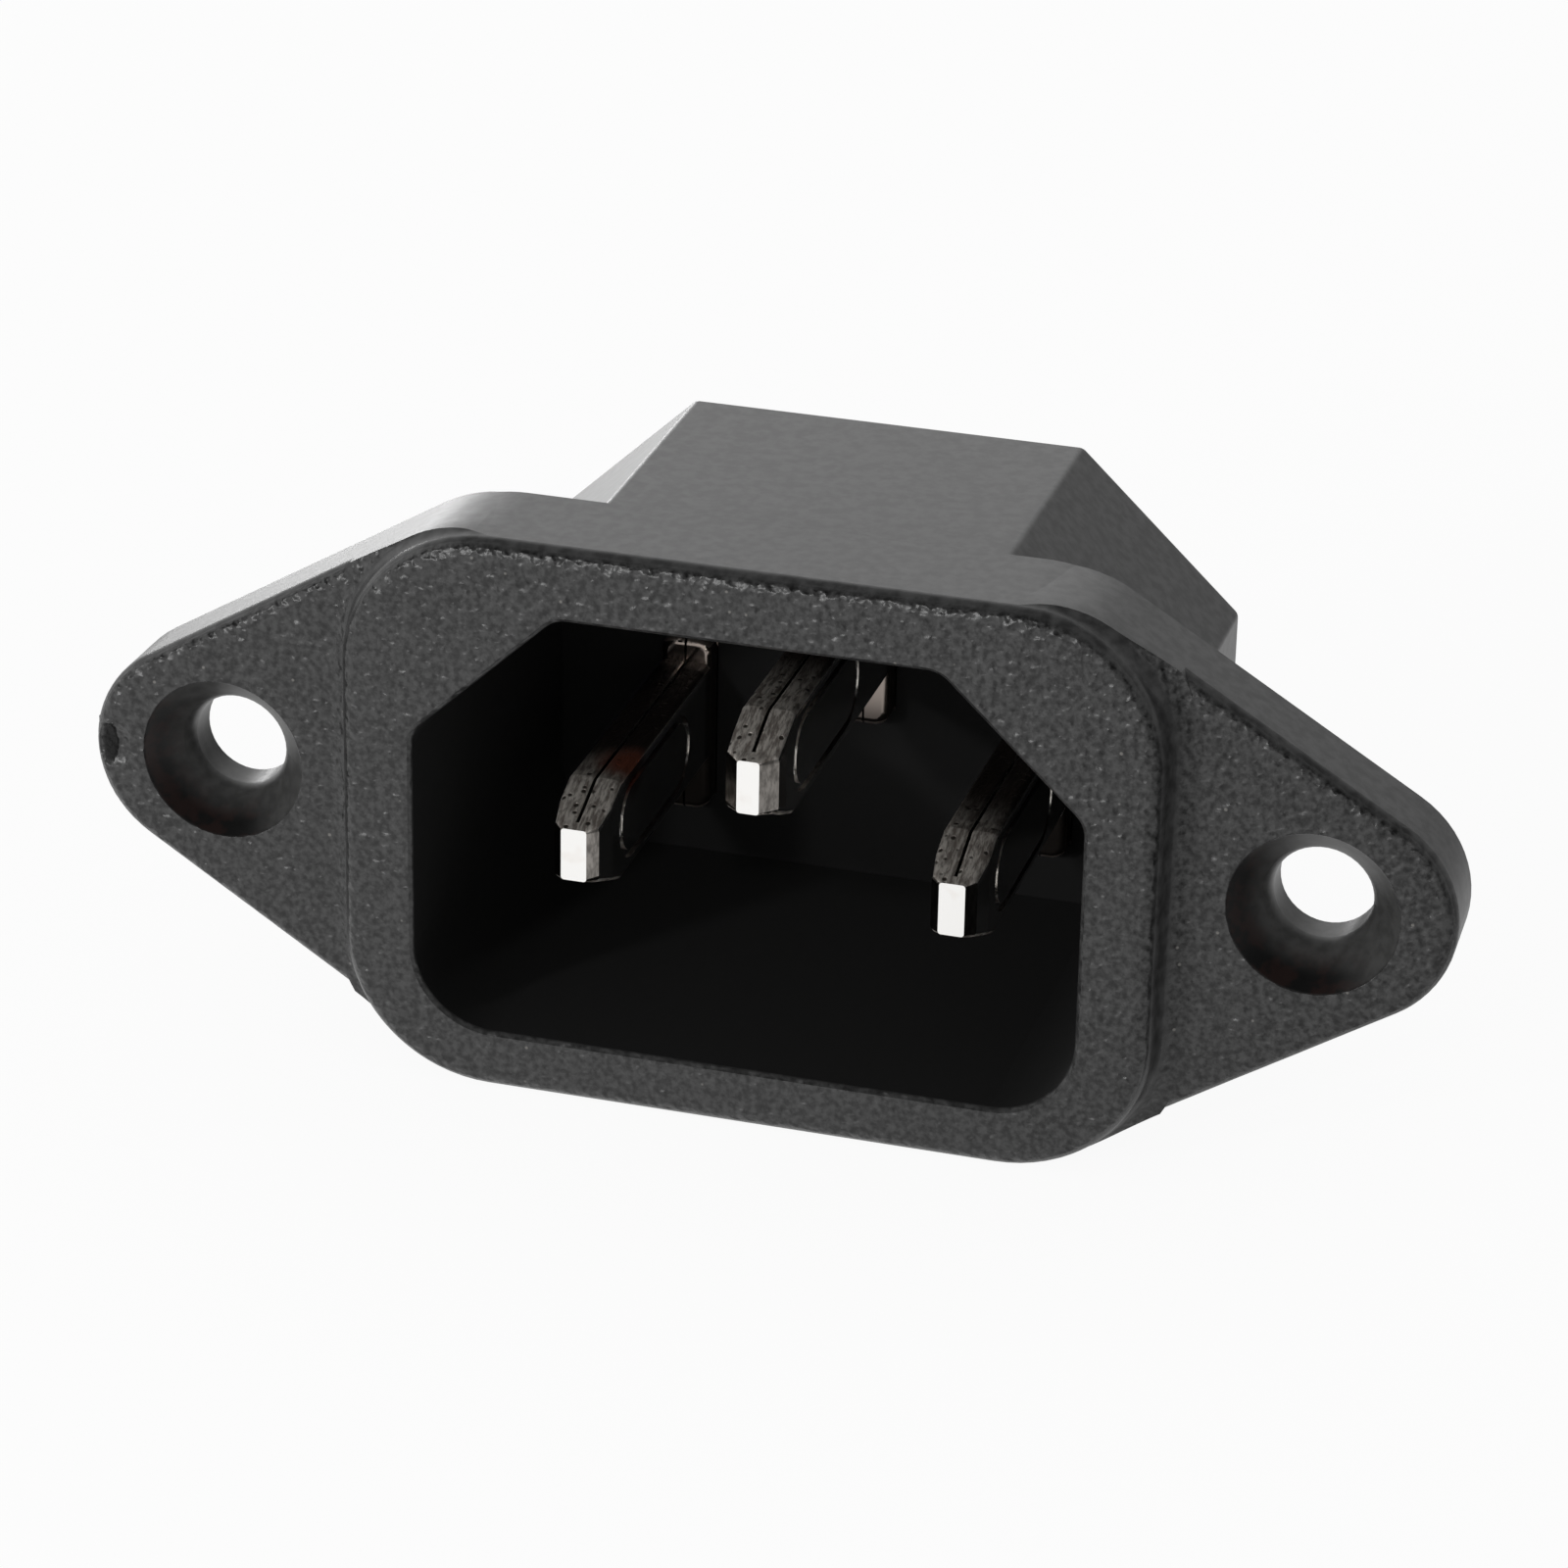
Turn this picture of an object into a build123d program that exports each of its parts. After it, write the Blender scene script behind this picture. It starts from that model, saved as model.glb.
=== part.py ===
from build123d import *
import math
import os

# Screw-flange power inlet: one moulded housing that holds three folded metal pins.
# Millimetres. X runs right along the two screw holes, Y runs back into the panel, Z is up.
# The origin is midway between the screw holes, on the flange's rear face.

# Screw flange
hole_spacing = 40.0
hole_d = 3.55
hole_land = 1.6
sink_d = 6.1
throat_r = 1.1
wing_t = 3.2
wing_reach = 5.0
wing_tip_r = 4.15
wing_corner_r = 4.8
wing_draft = 1.35
wing_edge_r = 0.5

# Collar around the mouth
collar_t = 4.8
collar_corner_r = 5.45
collar_edge_r = 0.6
flare_r = 1.0
rim_side = 2.7
rim_top = 2.65
rim_bottom = 2.3

# Socket: the mouth and the body behind it share one outline
mouth_w = 24.4
mouth_h = 16.4
mouth_cut_x = 5.3
mouth_cut_z = 5.0
mouth_corner_r = 3.0
mouth_cut_r = 1.1
mouth_edge_r = 0.15
socket_drop = 0.33
wall = 1.4
rear_wall = 1.75
body_len = 13.9
body_edge_r = 0.25
body_cut_r = 0.35

# Moulding marks on the left wing tip
gate_w = 1.3
gate_h = 1.5
gate_proud = 0.12
gate_dish_r = 2.2
gate_dish_depth = 0.2

# Pins: one strip folded over at the tip, so two leaves lie side by side
pin_t = 2.0
pin_h = 4.0
pin_edge_r = 0.3
pin_pitch = 14.0
line_drop = 1.98
earth_rise = 2.54
line_recess = 2.6
earth_recess = 0.75
tip_face_h = 2.02
tip_edge_r = 0.12
line_face_w = 0.96
line_bevel = 0.36
earth_face_w = 0.82
earth_bevel = 0.56
bevel_rise = 0.14
nose_mid = 1.4
nose_mid_h = 3.1
nose_run = 2.5
seam = 0.09
seam_edge_r = 0.15
groove_start = 2.3
groove_end = 10.8
groove_h = 3.1
groove_w = 0.3
groove_depth = 0.1

# Pin shoulders and rear tabs
shoulder_up = 2.95
shoulder_down = 4.15
shoulder_t = 0.9
shoulder_corner_r = 0.6
shoulder_edge_r = 0.3
root_shift = (shoulder_up - shoulder_down) / 2
tab_w = 6.3
tab_t = 0.8
tab_len = 8.7
tab_bevel = 1.2
tab_hole_d = 1.7
tab_hole_inset = 3.2
slot_clear = 0.03

# Places worked out from the sizes above
hole_x = hole_spacing / 2
tip_x = hole_x + wing_reach
collar_w = mouth_w + 2 * rim_side
collar_top = mouth_h / 2 - socket_drop + rim_top
collar_bottom = -mouth_h / 2 - socket_drop - rim_bottom
collar_h = collar_top - collar_bottom
collar_z = (collar_top + collar_bottom) / 2
front_y = -collar_t
floor_y = body_len - rear_wall
cut_through = 1.0


def at_depth(y):
    """Plane facing the viewer at depth y, with X to the right and Z up."""
    return Plane(origin=(0, y, 0), x_dir=(1, 0, 0), z_dir=(0, -1, 0))


def slab(sketch, y_front, y_back):
    """Solid with the sketch's outline in X and Z, between two depths."""
    return extrude(at_depth(y_back) * sketch, amount=y_back - y_front)


def socket_outline(grow, corner_r, cut_r):
    """Mouth outline moved outwards by grow: cut top corners, round bottom corners."""
    slope = math.atan2(mouth_cut_z, mouth_cut_x)
    cut_x = mouth_cut_x + grow * (1 - math.tan(slope / 2))
    cut_z = mouth_cut_z + grow * (1 - math.tan(math.pi / 4 - slope / 2))
    half_w = mouth_w / 2 + grow
    top = mouth_h / 2 + grow - socket_drop
    bottom = -mouth_h / 2 - grow - socket_drop
    outline = Polygon(
        (-half_w, bottom),
        (half_w, bottom),
        (half_w, top - cut_z),
        (half_w - cut_x, top),
        (-half_w + cut_x, top),
        (-half_w, top - cut_z),
        align=None,
    )
    outline = fillet(outline.vertices().sort_by(Axis.Y)[2:], cut_r)
    return fillet(outline.vertices().sort_by(Axis.Y)[:2], corner_r)


def collar_outline(grow=0.0):
    """Rounded rectangle of the collar, moved outwards by grow."""
    box = RectangleRounded(collar_w + 2 * grow, collar_h + 2 * grow, collar_corner_r + grow)
    return Pos(0, collar_z) * box


def wing_outline():
    """Front outline, drawn tight around the two wing tips and a rectangle as large as the collar."""
    edges = (Pos(0, collar_z) * RectangleRounded(collar_w, collar_h, wing_corner_r)).edges()
    for side in (-1, 1):
        edges += (Pos(side * (tip_x - wing_tip_r), 0) * Circle(wing_tip_r)).edges()
    return make_hull(edges)


def wing_plate():
    """Flange plate, drawn in towards its back by the mould's draft."""
    return extrude(at_depth(-wing_t) * wing_outline(), amount=-wing_t, taper=wing_draft)


def wings():
    """Flange plate with its front edge rounded over."""
    plate = wing_plate()
    return fillet(plate.faces().sort_by(Axis.Y)[0].edges(), wing_edge_r)


def flare():
    """Hollow transition from the collar's sides to the wings."""
    foot = slab(collar_outline(flare_r), -wing_t - flare_r, -wing_t / 2)
    path = at_depth(-wing_t - flare_r) * collar_outline(flare_r).wire()
    start = path @ 0
    scoop = sweep(Plane(origin=start, z_dir=path % 0) * Circle(flare_r), path=path)
    ahead = slab(wing_outline(), -collar_t, -wing_t)
    return (foot - scoop) & (ahead + wing_plate())


def collar():
    """Raised rim around the mouth."""
    rim = slab(collar_outline(), front_y, 0)
    return fillet(rim.faces().sort_by(Axis.Y)[0].edges(), collar_edge_r)


def body():
    """Tube behind the panel, closed at the back."""
    outer = slab(socket_outline(wall, mouth_corner_r + wall, body_cut_r), -wing_t / 2, body_len)
    return fillet(outer.faces().sort_by(Axis.Y)[-1].edges(), body_edge_r)


def cavity():
    """Space for the mating plug, with the mouth's edge eased."""
    inner = socket_outline(0, mouth_corner_r, mouth_cut_r)
    outer = socket_outline(mouth_edge_r, mouth_corner_r + mouth_edge_r, mouth_cut_r + mouth_edge_r)
    space = slab(inner, front_y, floor_y)
    outside = slab(outer, front_y - cut_through, front_y)
    easing = loft([at_depth(front_y) * outer, at_depth(front_y + mouth_edge_r) * inner], ruled=True)
    return space + outside + easing


def screw_hole(side):
    """Countersunk hole, its cone running on past the wing's front face."""
    sink_depth = wing_t - hole_land
    slope = (sink_d - hole_d) / 2 / sink_depth
    cone_len = sink_depth + cut_through
    cone_r = hole_d / 2 + slope * cone_len
    profile = Polygon(
        (0, -cone_len - hole_land),
        (cone_r, -cone_len - hole_land),
        (hole_d / 2, -hole_land),
        (hole_d / 2, cut_through),
        (0, cut_through),
        align=None,
    )
    throat = profile.vertices().filter_by(lambda v: abs(v.X - hole_d / 2) < wall / 10 and v.Y < 0)
    profile = fillet(throat, throat_r)
    return Pos(side * hole_x, 0, 0) * revolve(profile, axis=Axis.Y)


def gate_nub():
    """Stub left where the runner was snapped off the left wing tip."""
    stub = Box(gate_proud + wing_tip_r / 2, gate_h, gate_w)
    return Pos(-tip_x + wing_tip_r / 4 - gate_proud / 2, -wing_t / 2, 0) * stub


def gate_dish():
    """Shallow trim mark on the wing's face beside the gate."""
    sphere_y = -wing_t - gate_dish_r + gate_dish_depth
    return Pos(-tip_x + gate_w / 2, sphere_y, 0) * Sphere(gate_dish_r)


def pin_slot(x, z):
    """Slot in the rear wall for one pin's folded root."""
    opening = Rectangle(pin_t + 2 * slot_clear, tab_w + 2 * slot_clear)
    return slab(Pos(x, z + root_shift) * opening, floor_y - cut_through, body_len + cut_through)


def housing():
    """The moulding: flange, collar, body, cavity, screw holes and pin slots."""
    solid = wings() + flare() + collar() + body() + gate_nub()
    solid -= cavity()
    solid -= gate_dish()
    for side in (-1, 1):
        solid -= screw_hole(side)
    for x, z, *_ in pin_places().values():
        solid -= pin_slot(x, z)
    return solid


def pin_places():
    """Each pin's X and Z, its tip's distance behind the collar's face, and its tip's face and bevel."""
    line_z = -socket_drop - line_drop
    earth_z = -socket_drop + earth_rise
    return {
        "earth_pin": (0.0, earth_z, earth_recess, earth_face_w, earth_bevel),
        "line_pin": (pin_pitch / 2, line_z, line_recess, line_face_w, line_bevel),
        "neutral_pin": (-pin_pitch / 2, line_z, line_recess, line_face_w, line_bevel),
    }


def leaf_section(side, width, height):
    """Half of the pin's section: one leaf, rounded more on its outer edges."""
    leaf_w = (width - seam) / 2
    leaf = Pos(side * (width + seam) / 4, 0) * Rectangle(leaf_w, height)
    leaf = fillet(leaf.vertices().group_by(Axis.X)[0 if side < 0 else -1], pin_edge_r)
    return fillet(leaf.vertices().filter_by(lambda v: abs(v.X) < seam), seam_edge_r)


def nose_cap(face_w, bevel):
    """Front of the fold, from its flat face to the end of its side bevels."""
    face = RectangleRounded(face_w, tip_face_h, tip_edge_r)
    foot = RectangleRounded(face_w + 2 * bevel, tip_face_h + 2 * bevel_rise, pin_edge_r)
    return loft([at_depth(0) * face, at_depth(bevel) * foot], ruled=True)


def leaf(side, face_w, bevel, length):
    """One leaf of the strip, from the nose to the shoulder."""
    first = leaf_section(side, face_w + 2 * bevel, tip_face_h + 2 * bevel_rise)
    middle = leaf_section(side, pin_t, nose_mid_h)
    full = leaf_section(side, pin_t, pin_h)
    places = [at_depth(bevel) * first, at_depth(nose_mid) * middle, at_depth(nose_run) * full]
    return loft(places, ruled=True) + slab(full, nose_run, length)


def shoulder(length):
    """Wider part of the strip that seats on the socket's floor."""
    height = shoulder_up + shoulder_down
    outline = Pos(0, root_shift) * RectangleRounded(pin_t, height, shoulder_corner_r)
    block = slab(outline, length, length + shoulder_t)
    return fillet(block.faces().sort_by(Axis.Y)[0].edges(), shoulder_edge_r)


def tab(root_y, seat_y):
    """Root in the rear wall, and the tab behind it that is one leaf thick."""
    end_y = root_y + tab_len
    half = tab_w / 2
    side_view = Polygon(
        (seat_y, half),
        (end_y - tab_bevel, half),
        (end_y, half - tab_bevel),
        (end_y, tab_bevel - half),
        (end_y - tab_bevel, -half),
        (seat_y, -half),
        align=None,
    )
    side = Plane(origin=(0, 0, 0), x_dir=(0, 1, 0), z_dir=(1, 0, 0))
    blade = extrude(side * side_view, amount=pin_t / 2, both=True)
    spare = Pos(-tab_t / 2, 0) * Rectangle(pin_t - tab_t, tab_w)
    blade -= slab(spare, root_y, end_y)
    hole_y = end_y - tab_hole_inset
    blade -= Pos(0, hole_y, 0) * Rot(0, 90, 0) * Cylinder(tab_hole_d / 2, 2 * pin_t)
    return Pos(0, 0, root_shift) * blade


def pin(x, z, recess, face_w, bevel):
    """One strip folded at the tip: two leaves, shoulders, and a tab on one leaf."""
    tip_y = front_y + recess
    length = floor_y - shoulder_t - tip_y
    seat_y = floor_y - tip_y
    root_y = body_len - tip_y
    blank = nose_cap(face_w, bevel) + shoulder(length) + tab(root_y, seat_y)
    for side in (-1, 1):
        blank += leaf(side, face_w, bevel, length)
    blank -= slab(Rectangle(seam, 4 * pin_h), bevel, root_y)
    blank -= stamped_grooves()
    return Pos(x, tip_y, z) * blank


def stamped_grooves():
    """Oval line stamped into each side of a pin."""
    middle = (groove_start + groove_end) / 2
    run = groove_end - groove_start
    oval = SlotOverall(run, groove_h)
    line = oval - SlotOverall(run - 2 * groove_w, groove_h - 2 * groove_w)
    side = Plane(origin=(0, middle, 0), x_dir=(0, 1, 0), z_dir=(1, 0, 0))
    band = extrude(side * line, amount=pin_t, both=True)
    core = slab(Rectangle(pin_t - 2 * groove_depth, 2 * pin_h), 0, groove_end + groove_start)
    return band - core


def main():
    os.makedirs("parts", exist_ok=True)
    export_step(housing(), "parts/housing.step")
    for name, place in pin_places().items():
        export_step(pin(*place), f"parts/{name}.step")


main()
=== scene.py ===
import math

import bpy
from mathutils import Matrix, Vector


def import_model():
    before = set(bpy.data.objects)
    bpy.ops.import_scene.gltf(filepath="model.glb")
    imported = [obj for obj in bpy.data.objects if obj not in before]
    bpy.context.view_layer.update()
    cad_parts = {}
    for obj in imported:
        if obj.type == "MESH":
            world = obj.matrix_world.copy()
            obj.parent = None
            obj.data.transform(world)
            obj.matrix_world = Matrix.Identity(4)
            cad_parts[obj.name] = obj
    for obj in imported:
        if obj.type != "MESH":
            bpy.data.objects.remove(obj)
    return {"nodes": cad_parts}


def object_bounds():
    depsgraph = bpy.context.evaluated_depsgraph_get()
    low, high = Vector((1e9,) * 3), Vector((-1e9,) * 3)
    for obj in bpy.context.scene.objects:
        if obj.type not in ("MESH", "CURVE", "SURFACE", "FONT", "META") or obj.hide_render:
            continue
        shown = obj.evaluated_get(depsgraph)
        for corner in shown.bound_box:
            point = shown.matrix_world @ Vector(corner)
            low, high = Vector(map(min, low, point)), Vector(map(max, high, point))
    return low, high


# Screw-flange power inlet, in the frame of its solids: X right, Y back into the panel, Z up.
# Blender's units are metres, and the sizes and places named below are in millimetres.
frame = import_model()
cad_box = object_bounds()
nodes = frame["nodes"]
MM = 0.001

# The camera, as fitted to the photograph
CAMERA_PLACE = (48.772, -171.226, 83.505)
CAMERA_RIGHT = (0.95952641, 0.28105223, 0.01785252)
CAMERA_UP = (-0.13423464, 0.40071432, 0.90631622)
CAMERA_LENS = 126.535
CAMERA_SENSOR = 36.0
CAMERA_NEAREST = 10.0
CAMERA_FARTHEST = 10000.0

# Where the moulding's surfaces lie
COLLAR_FRONT = cad_box[0][1] / MM
FLANGE_FRONT = -3.2
HOLE_X = 20.0
SINK_R = 3.08
MOUTH_X = 12.28
MOUTH_TOP = 7.95
MOUTH_BOTTOM = -8.61
SOCKET_BACK = 12.6
ZONE_BLUR = 0.1

# The mouth's cut corners: direction across them, and their distance from the origin
CUT_X = 0.686
CUT_Z = 0.727
CUT_REACH = 10.6

# Relief of the moulding: the grain's depth, and the height of each part of it as a share of that
GRAIN_DEPTH = 0.125
FINE_HEIGHT = 0.7
PIT_HEIGHT = 0.35
WAVE_HEIGHT = 0.08
TORN_HEIGHT = 3.0

# Dust on the collar's face, each speck solid out to its core and gone at its radius
DUST_XZ = ((-9.97, 1.87), (-10.16, -5.19), (-9.25, -8.12), (-2.82, -8.53))
DUST_CORE = 0.05
DUST_R = 0.12
DUST_COVER = 0.3

# Torn mark where the gate was snapped off the left wing tip
GATE = (-24.4, FLANGE_FRONT, 0.0)
GATE_SQUASH = (2.6, 1.0, 1.0)
GATE_RAGGED = 0.8
GATE_FADE = (0.95, 1.25)

# Painted shade in the countersinks: outwards from the hole's axis, and towards the lower left
SINK_BLUR = 0.08
SHADE_ACROSS = -0.75
SHADE_DOWN = -0.66
SHADE_OUTWARDS = (1.8, 2.7)
SHADE_TO_LOW_LEFT = (-0.6, 1.4)

# Surfaces told apart by a part of the direction that they face, where -1 along Y is straight ahead
FRONT_FACES = (-0.85, -0.55)
BEVEL_FRONT = (-0.5, -0.3)
BEVEL_SIDE = (0.2, 0.4)
SHEARED_FACES = (0.3, 0.6)

# Marks on the pins, the depths over which painted shade darkens their sheared edges, and the depths where
# the shoulders start and the tabs start
SCRATCH_DEPTH = 0.04
SCRATCH_GRAIN = (7.0, 1.6, 2.0)
BRASS = (-6.15, 1.9, -0.35)
BRASS_CORE = 0.4
BRASS_R = 1.7
EDGE_SHADE_DEPTHS = (-1.0, 3.5)
SHOULDER_STARTS = (10.4, 10.9)
TAB_STARTS = (12.8, 13.4)

# Floor: its height, half its width, and the share of its colour that is plain white when it is seen
FLOOR_Z = cad_box[0][2] / MM
FLOOR_HALF = 1500.0
FLOOR_WHITE = 0.93

# How bright the floor and the room are in reflections, and over which stretches the floor changes
FLOOR_RIGHT = 0.7
FLOOR_RIGHT_X = (-10.0, 30.0)
FLOOR_AHEAD_Y = (0.0, 15.0)
FLOOR_FAR_RIGHT = 0.4
FLOOR_FAR_RIGHT_X = (18.0, 60.0)
ROOM_OVERHEAD = 0.12
ROOM_AHEAD_UP = 0.12
ROOM_BEHIND_RIGHT = 0.5
ROOM_AHEAD_RIGHT = 0.25

# Soft boxes aimed at the origin: place, width, height, and their share of full light there
LAMPS = {
    "key_light": ((-75, -265, 95), 20, 20, 0.16),
    "left_light": ((-170, -230, 85), 20, 20, 0.18),
    "back_left_light": ((-150, 270, 12), 110, 40, 0.13),
    "back_light": ((-80, 265, 110), 220, 140, 0.055),
}
WORLD_LIGHT = 0.55


def grey(level):
    """A neutral colour."""
    return (level, level, level, 1)


def shader_node(tree, kind, inputs=None, **settings):
    """A node of this kind, with its sockets set or linked and its own settings given."""
    node = tree.nodes.new(kind)
    for name, value in settings.items():
        setattr(node, name, value)
    for key, value in (inputs or {}).items():
        socket = node.inputs[key]
        if isinstance(value, bpy.types.NodeSocket):
            tree.links.new(value, socket)
        else:
            socket.default_value = value
    return node


def math_node(tree, operation, *values, clamp=False):
    """Result of one maths step."""
    inputs = dict(enumerate(values))
    return shader_node(tree, "ShaderNodeMath", inputs, operation=operation, use_clamp=clamp).outputs[0]


def vector_node(tree, operation, *values, output="Vector"):
    """Result of one step of vector maths."""
    inputs = dict(enumerate(values))
    return shader_node(tree, "ShaderNodeVectorMath", inputs, operation=operation).outputs[output]


def product(tree, *values):
    """All the values multiplied."""
    result = values[0]
    for value in values[1:]:
        result = math_node(tree, "MULTIPLY", result, value)
    return result


def total(tree, *values):
    """All the values added."""
    result = values[0]
    for value in values[1:]:
        result = math_node(tree, "ADD", result, value)
    return result


def opposite(tree, share):
    """One minus the share."""
    return math_node(tree, "SUBTRACT", 1.0, share)


def ramp(tree, value, low, high, start, end):
    """The value turned smoothly from start at low to end at high."""
    inputs = {"Value": value, "From Min": low, "From Max": high, "To Min": start, "To Max": end}
    return shader_node(tree, "ShaderNodeMapRange", inputs, interpolation_type="SMOOTHSTEP").outputs[0]


def rise(tree, value, low, high):
    """0 up to low, 1 from high on."""
    return ramp(tree, value, low, high, 0.0, 1.0)


def fall(tree, value, low, high):
    """1 up to low, 0 from high on."""
    return ramp(tree, value, low, high, 1.0, 0.0)


def between(tree, share, start, end):
    """From start, where the share is 0, to end, where it is 1."""
    return ramp(tree, share, 0.0, 1.0, start, end)


def blend_colour(tree, share, first, second):
    """First colour where share is 0, second where it is 1."""
    return shader_node(tree, "ShaderNodeMix", {0: share, 6: first, 7: second}, data_type="RGBA").outputs[2]


def in_millimetres(tree):
    """The place on the object."""
    place = shader_node(tree, "ShaderNodeTexCoord").outputs["Object"]
    inputs = {0: place, "Scale": 1 / MM}
    return shader_node(tree, "ShaderNodeVectorMath", inputs, operation="SCALE").outputs[0]


def parts_of(tree, vector):
    """The vector's X, Y and Z."""
    return shader_node(tree, "ShaderNodeSeparateXYZ", {0: vector}).outputs


def outward(tree):
    """X, Y and Z of the direction that the surface faces, without its bumps."""
    return parts_of(tree, shader_node(tree, "ShaderNodeTexCoord").outputs["Normal"])


def noise(tree, place, scale, detail=2.0, roughness=0.5):
    """Noise from 0 to 1, with that many waves per millimetre."""
    inputs = {"Vector": place, "Scale": scale, "Detail": detail, "Roughness": roughness}
    return shader_node(tree, "ShaderNodeTexNoise", inputs).outputs[0]


def cells(tree, place, scale, output="Distance"):
    """Scattered points, that many to a millimetre: distance to the nearest, or its own colour."""
    inputs = {"Vector": place, "Scale": scale}
    return shader_node(tree, "ShaderNodeTexVoronoi", inputs, feature="F1").outputs[output]


def specks(tree, place, scale, share, radius):
    """1 on small dots, on that share of the scattered points."""
    distance = cells(tree, place, scale)
    draw = shader_node(tree, "ShaderNodeSeparateColor", {0: cells(tree, place, scale, "Color")}).outputs[0]
    dot = fall(tree, distance, radius * scale * 0.5, radius * scale)
    return product(tree, dot, fall(tree, draw, share, share + 0.05))


def spot(tree, place, centre, near, far):
    """1 within near millimetres of a point, 0 beyond far."""
    return fall(tree, vector_node(tree, "DISTANCE", place, centre, output="Value"), near, far)


def new_material(name):
    """An empty material with its shader and output, and the place on the object in millimetres."""
    material = bpy.data.materials.new(name)
    material.use_nodes = True
    tree = material.node_tree
    tree.nodes.clear()
    shader = shader_node(tree, "ShaderNodeBsdfPrincipled")
    output = shader_node(tree, "ShaderNodeOutputMaterial")
    tree.links.new(shader.outputs[0], output.inputs["Surface"])
    return material, tree, shader, in_millimetres(tree)


def set_bump(tree, shader, height, strength, depth):
    """Relief of that depth in millimetres where the height is 1."""
    inputs = {"Strength": strength, "Distance": depth * MM, "Height": height}
    bump = shader_node(tree, "ShaderNodeBump", inputs)
    tree.links.new(bump.outputs[0], shader.inputs["Normal"])


def hole_shares(tree, place):
    """Two shares: inside the screw holes, and where painted shade darkens their countersinks' lower left.
    """
    x, y, z = parts_of(tree, place)
    own_axis = product(tree, math_node(tree, "SIGN", x), HOLE_X)
    across = math_node(tree, "SUBTRACT", x, own_axis)
    squares = total(tree, math_node(tree, "POWER", across, 2.0), math_node(tree, "POWER", z, 2.0))
    from_axis = math_node(tree, "SQRT", squares)
    ahead_of_back = fall(tree, y, -2 * ZONE_BLUR, -ZONE_BLUR)
    holes = product(tree, fall(tree, from_axis, SINK_R - SINK_BLUR, SINK_R), ahead_of_back)
    # Painted shade: the countersink's outer ring darkens towards the lower left
    low_left = total(tree, product(tree, across, SHADE_ACROSS), product(tree, z, SHADE_DOWN))
    outwards = rise(tree, from_axis, *SHADE_OUTWARDS)
    painted_shade_share = product(tree, outwards, rise(tree, low_left, *SHADE_TO_LOW_LEFT))
    return holes, painted_shade_share


def socket_share(tree, place):
    """1 inside the socket."""
    x, y, z = parts_of(tree, place)
    side = math_node(tree, "ABSOLUTE", x)
    across_cut = total(tree, product(tree, side, CUT_X), product(tree, z, CUT_Z))
    return product(
        tree,
        rise(tree, y, COLLAR_FRONT + ZONE_BLUR, COLLAR_FRONT + 2 * ZONE_BLUR),
        fall(tree, across_cut, CUT_REACH, CUT_REACH + ZONE_BLUR),
        fall(tree, side, MOUTH_X, MOUTH_X + ZONE_BLUR),
        fall(tree, z, MOUTH_TOP, MOUTH_TOP + ZONE_BLUR),
        rise(tree, z, MOUTH_BOTTOM - ZONE_BLUR, MOUTH_BOTTOM),
        fall(tree, y, SOCKET_BACK, SOCKET_BACK + 2 * ZONE_BLUR),
    )


def gate_scar(tree, place):
    """1 on the torn mark where the gate was snapped off the left wing tip."""
    from_gate = vector_node(tree, "SUBTRACT", place, GATE)
    squashed = vector_node(tree, "MULTIPLY", from_gate, GATE_SQUASH)
    reach = vector_node(tree, "LENGTH", squashed, output="Value")
    ragged = product(tree, noise(tree, place, scale=2.0, roughness=0.6), GATE_RAGGED)
    return fall(tree, total(tree, reach, ragged), *GATE_FADE)


def housing_relief(tree, place, grained, torn):
    """Height of the spark-eroded grain, the slight waves of the moulding, and the torn gate."""
    fine = product(tree, noise(tree, place, scale=3.2, detail=1.2), FINE_HEIGHT)
    pits = product(tree, rise(tree, cells(tree, place, scale=2.6), 0.05, 0.8), PIT_HEIGHT)
    grain = product(tree, total(tree, fine, pits), grained)
    waves = product(tree, noise(tree, place, scale=1.0), WAVE_HEIGHT)
    jagged = product(tree, noise(tree, place, scale=1.6, detail=3.0, roughness=0.6), torn, TORN_HEIGHT)
    return total(tree, grain, waves, jagged)


def dust_share(tree, place, grained):
    """1 on specks of dust: scattered ones on the grain, and the larger ones on the collar."""
    dust = product(tree, specks(tree, place, scale=1.5, share=0.2, radius=0.08), grained)
    for x, z in DUST_XZ:
        speck = spot(tree, place, (x, COLLAR_FRONT, z), DUST_CORE, DUST_R)
        dust = math_node(tree, "MAXIMUM", dust, speck)
    return dust


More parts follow.
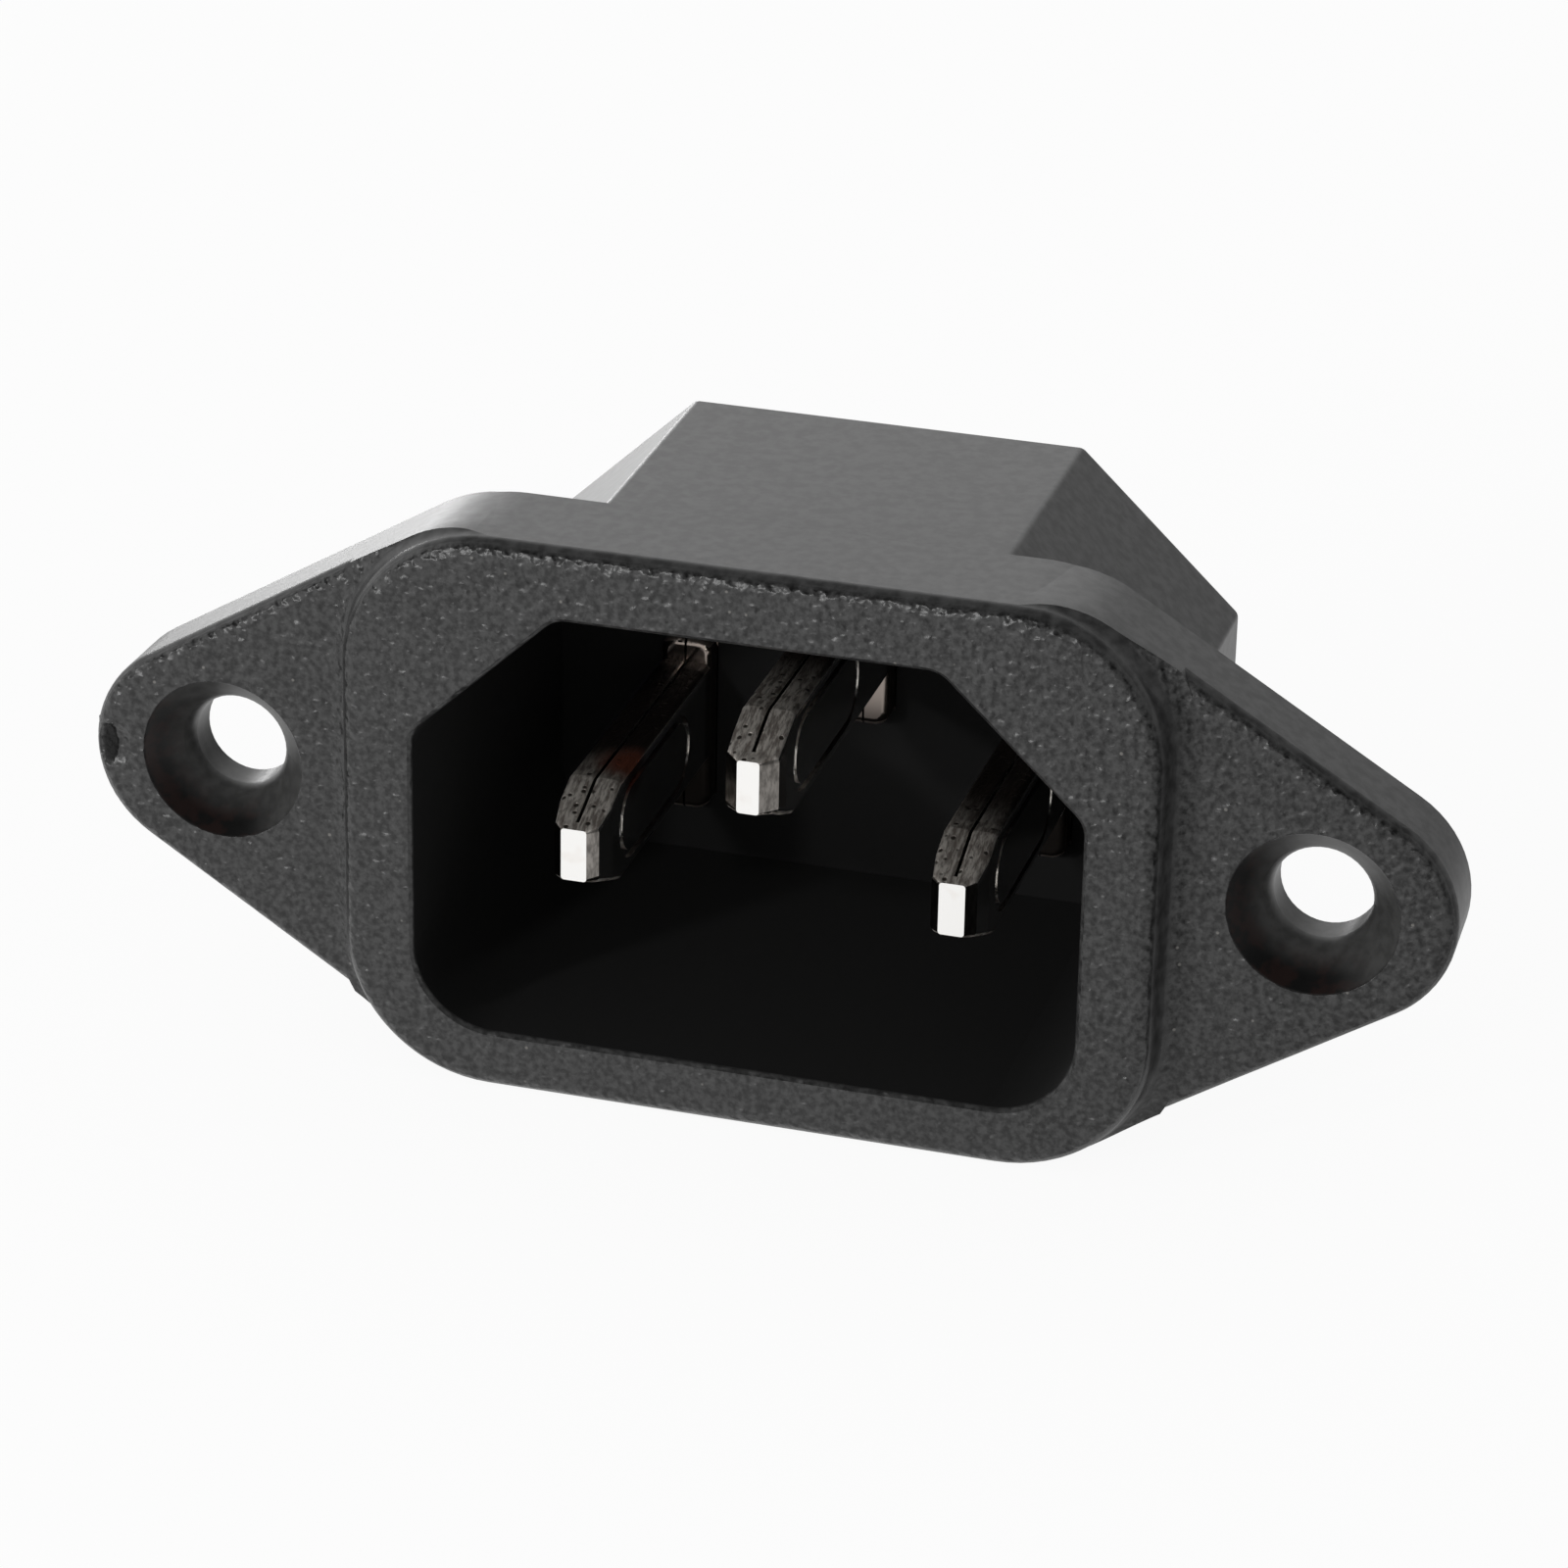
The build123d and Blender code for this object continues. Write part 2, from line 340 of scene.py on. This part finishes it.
def housing_plastic():
    """Black moulded plastic: spark-eroded grain on the front faces, plain elsewhere."""
    material, tree, shader, place = new_material("housing_plastic")
    holes, painted_shade_share = hole_shares(tree, place)
    socket = socket_share(tree, place)
    torn = gate_scar(tree, place)
    facing_front = fall(tree, outward(tree)[1], *FRONT_FACES)
    grained = product(tree, facing_front, opposite(tree, holes), opposite(tree, socket))
    relief = housing_relief(tree, place, grained, torn)
    set_bump(tree, shader, relief, strength=1.0, depth=GRAIN_DEPTH)

    mottle = rise(tree, noise(tree, place, scale=4.0, roughness=0.6), 0.3, 0.7)
    clouds = rise(tree, noise(tree, place, scale=2.2), 0.3, 0.7)
    brown = rise(tree, noise(tree, place, scale=1.3, roughness=0.6), 0.42, 0.58)
    grain = blend_colour(tree, mottle, grey(0.004), grey(0.044))
    plain = blend_colour(tree, clouds, grey(0.018), grey(0.046))
    # Countersink colours: plain where unshaded, and painted shade on the outer lower left, near black and
    # mottled brownish
    sink_unshaded = blend_colour(tree, clouds, (0.036, 0.036, 0.035, 1), (0.056, 0.056, 0.055, 1))
    sink_painted_shade = blend_colour(tree, brown, grey(0.003), (0.012, 0.005, 0.004, 1))
    colour = blend_colour(tree, grained, plain, grain)
    # Painted shade: the socket's walls near black, darker than the same plastic outside
    colour = blend_colour(tree, socket, colour, grey(0.003))
    colour = blend_colour(tree, holes, colour, blend_colour(tree, painted_shade_share, sink_unshaded, sink_painted_shade))
    colour = blend_colour(tree, torn, colour, grey(0.002))
    dust = product(tree, dust_share(tree, place, grained), DUST_COVER)
    colour = blend_colour(tree, dust, colour, (0.45, 0.43, 0.40, 1))
    tree.links.new(colour, shader.inputs["Base Color"])

    roughness = total(
        tree,
        between(tree, grained, 0.40, 0.32),
        product(tree, socket, 0.55),
        product(tree, torn, 0.5),
    )
    tree.links.new(roughness, shader.inputs["Roughness"])
    shader.inputs["IOR"].default_value = 1.5
    return material


def pin_metal():
    """Nickel plate over brass: bright on the strip's faces, dull on its sheared edges; painted shade
    darkens its bevels, its sheared edges deeper in the socket, and its shoulders.
    """
    material, tree, shader, place = new_material("pin_metal")
    facing_x, facing_y, facing_z = outward(tree)
    depth = parts_of(tree, place)[1]
    sheared = rise(tree, math_node(tree, "ABSOLUTE", facing_z), *SHEARED_FACES)
    turned = rise(tree, math_node(tree, "ABSOLUTE", facing_x), *BEVEL_SIDE)
    bevel = product(tree, turned, fall(tree, facing_y, *BEVEL_FRONT))
    shoulder = rise(tree, depth, *SHOULDER_STARTS)
    tab = rise(tree, depth, *TAB_STARTS)

    along = vector_node(tree, "MULTIPLY", place, SCRATCH_GRAIN)
    streaks = rise(tree, noise(tree, along, scale=1.0, detail=3.0, roughness=0.6), 0.35, 0.65)
    pits = specks(tree, place, scale=3.0, share=0.5, radius=0.12)
    relief = product(tree, math_node(tree, "SUBTRACT", product(tree, streaks, 0.6), pits), sheared)
    set_bump(tree, shader, relief, strength=0.8, depth=SCRATCH_DEPTH)

    edge = blend_colour(tree, streaks, (0.32, 0.28, 0.25, 1), (0.90, 0.85, 0.78, 1))
    edge = blend_colour(tree, pits, edge, (0.08, 0.07, 0.06, 1))
    # Painted shade: the sheared edges turn near black deeper into the socket
    edge = blend_colour(tree, rise(tree, depth, *EDGE_SHADE_DEPTHS), edge, (0.05, 0.04, 0.035, 1))
    patches = product(tree, rise(tree, noise(tree, place, scale=1.1), 0.5, 0.7), 0.2)
    bright = blend_colour(tree, patches, (0.96, 0.95, 0.93, 1), (0.72, 0.62, 0.54, 1))
    # Painted shade on the bevels: the plate coloured darker there
    bevel_painted_shade = blend_colour(tree, streaks, (0.14, 0.13, 0.12, 1), (0.30, 0.28, 0.26, 1))
    tab_plate = blend_colour(tree, streaks, (0.50, 0.485, 0.46, 1), (0.60, 0.585, 0.56, 1))
    colour = blend_colour(tree, sheared, blend_colour(tree, bevel, bright, bevel_painted_shade), edge)
    rubbed = spot(tree, place, BRASS, BRASS_CORE, BRASS_R)
    colour = blend_colour(tree, rubbed, colour, (0.30, 0.10, 0.06, 1))
    # Painted shade: the shoulders deep in the socket coloured darker than the plate in front
    colour = blend_colour(tree, shoulder, colour, (0.28, 0.24, 0.215, 1))
    colour = blend_colour(tree, tab, colour, tab_plate)
    tree.links.new(colour, shader.inputs["Base Color"])

    roughness = math_node(tree, "MAXIMUM", between(tree, sheared, 0.14, 0.42), product(tree, tab, 0.3))
    tree.links.new(roughness, shader.inputs["Roughness"])
    tree.links.new(between(tree, sheared, 1.0, 0.75), shader.inputs["Metallic"])
    return material


def dress():
    """Each CAD node gets its material."""
    materials = {"housing_plastic": housing_plastic(), "pin_metal": pin_metal()}
    for name, node in nodes.items():
        slot = "housing_plastic" if name == "housing" else "pin_metal"
        node.data.materials.clear()
        node.data.materials.append(materials[slot])


def seen_shares(tree):
    """Two shares: rays that see the backdrop, and those among them that come off gloss."""
    path = shader_node(tree, "ShaderNodeLightPath").outputs
    gloss = path["Is Glossy Ray"]
    seen = total(tree, path["Is Camera Ray"], gloss)
    return math_node(tree, "ADD", seen, path["Is Transmission Ray"], clamp=True), gloss


def white_or(tree, gloss, level):
    """1 as seen straight or through glass, and this level in reflections."""
    return shader_node(tree, "ShaderNodeMix", {0: gloss, 2: 1.0, 3: level}, data_type="FLOAT").outputs[0]


def floor_material():
    """White as seen, less bright in reflections towards the right, and matt for the light and shadow."""
    material = bpy.data.materials.new("floor")
    material.use_nodes = True
    tree = material.node_tree
    tree.nodes.clear()
    seen, gloss = seen_shares(tree)
    parts = parts_of(tree, in_millimetres(tree))
    right_ahead = product(tree, rise(tree, parts[0], *FLOOR_RIGHT_X), fall(tree, parts[1], *FLOOR_AHEAD_Y))
    far_right = ramp(tree, parts[0], *FLOOR_FAR_RIGHT_X, 1.0, FLOOR_FAR_RIGHT)
    level = product(tree, between(tree, right_ahead, 1.0, FLOOR_RIGHT), far_right)
    matt = shader_node(tree, "ShaderNodeBsdfDiffuse", {"Color": grey(0.9)})
    inputs = {"Color": grey(1), "Strength": white_or(tree, gloss, level)}
    white = shader_node(tree, "ShaderNodeEmission", inputs)
    share = product(tree, seen, FLOOR_WHITE)
    mix = shader_node(tree, "ShaderNodeMixShader", {0: share, 1: matt.outputs[0], 2: white.outputs[0]})
    output = shader_node(tree, "ShaderNodeOutputMaterial")
    tree.links.new(mix.outputs[0], output.inputs["Surface"])
    return material


def floor():
    """Pale floor under the object's lowest point."""
    half = FLOOR_HALF * MM
    corners = [(-half, -half), (half, -half), (half, half), (-half, half)]
    mesh = bpy.data.meshes.new("floor")
    mesh.from_pydata([(x, y, FLOOR_Z * MM) for x, y in corners], [], [(0, 1, 2, 3)])
    plane = bpy.data.objects.new("floor", mesh)
    bpy.context.scene.collection.objects.link(plane)
    plane.data.materials.append(floor_material())


def world():
    """White as seen; in reflections darker overhead, up in front, behind on the right, and at the right."""
    scene_world = bpy.data.worlds.new("studio")
    scene_world.use_nodes = True
    tree = scene_world.node_tree
    tree.nodes.clear()
    seen, gloss = seen_shares(tree)
    x, y, z = parts_of(tree, shader_node(tree, "ShaderNodeTexCoord").outputs["Generated"])
    behind = rise(tree, y, 0.0, 0.4)
    behind_right = product(tree, behind, rise(tree, x, 0.05, 0.38))
    ahead_up = product(tree, fall(tree, y, -0.2, 0.1), rise(tree, z, 0.2, 0.45))
    ahead_right = product(tree, rise(tree, x, 0.35, 0.75), opposite(tree, behind))
    level = product(
        tree,
        ramp(tree, z, 0.50, 0.82, 1.0, ROOM_OVERHEAD),
        between(tree, behind_right, 1.0, ROOM_BEHIND_RIGHT),
        between(tree, ahead_up, 1.0, ROOM_AHEAD_UP),
        between(tree, ahead_right, 1.0, ROOM_AHEAD_RIGHT),
    )
    lit = shader_node(tree, "ShaderNodeBackground", {"Color": grey(1), "Strength": WORLD_LIGHT})
    inputs = {"Color": grey(1), "Strength": white_or(tree, gloss, level)}
    shown = shader_node(tree, "ShaderNodeBackground", inputs)
    mix = shader_node(tree, "ShaderNodeMixShader", {0: seen, 1: lit.outputs[0], 2: shown.outputs[0]})
    output = shader_node(tree, "ShaderNodeOutputWorld")
    tree.links.new(mix.outputs[0], output.inputs["Surface"])
    bpy.context.scene.world = scene_world


def lamp(name, place, width, height, level):
    """A soft box that gives a surface facing it at the origin this share of full light."""
    data = bpy.data.lights.new(name, "AREA")
    data.shape = "RECTANGLE"
    data.size = width * MM
    data.size_y = height * MM
    away = Vector(place) * MM
    data.energy = level * math.pi * math.pi * away.length_squared
    lamp_object = bpy.data.objects.new(name, data)
    lamp_object.location = away
    lamp_object.rotation_mode = "QUATERNION"
    lamp_object.rotation_quaternion = away.to_track_quat("Z", "Y")
    lamp_object.visible_camera = False
    bpy.context.scene.collection.objects.link(lamp_object)


def camera():
    """The photograph's camera."""
    data = bpy.data.cameras.new("camera")
    data.lens = CAMERA_LENS
    data.sensor_width = CAMERA_SENSOR
    data.clip_start = CAMERA_NEAREST * MM
    data.clip_end = CAMERA_FARTHEST * MM
    viewer = bpy.data.objects.new("camera", data)
    bpy.context.scene.collection.objects.link(viewer)
    right, up = Vector(CAMERA_RIGHT), Vector(CAMERA_UP)
    turn = Matrix((right, up, right.cross(up))).transposed().to_4x4()
    viewer.matrix_world = Matrix.Translation(Vector(CAMERA_PLACE) * MM) @ turn
    bpy.context.scene.camera = viewer


dress()
floor()
world()
for lamp_name, lamp_values in LAMPS.items():
    lamp(lamp_name, *lamp_values)
camera()
bpy.context.scene.view_settings.view_transform = "Standard"
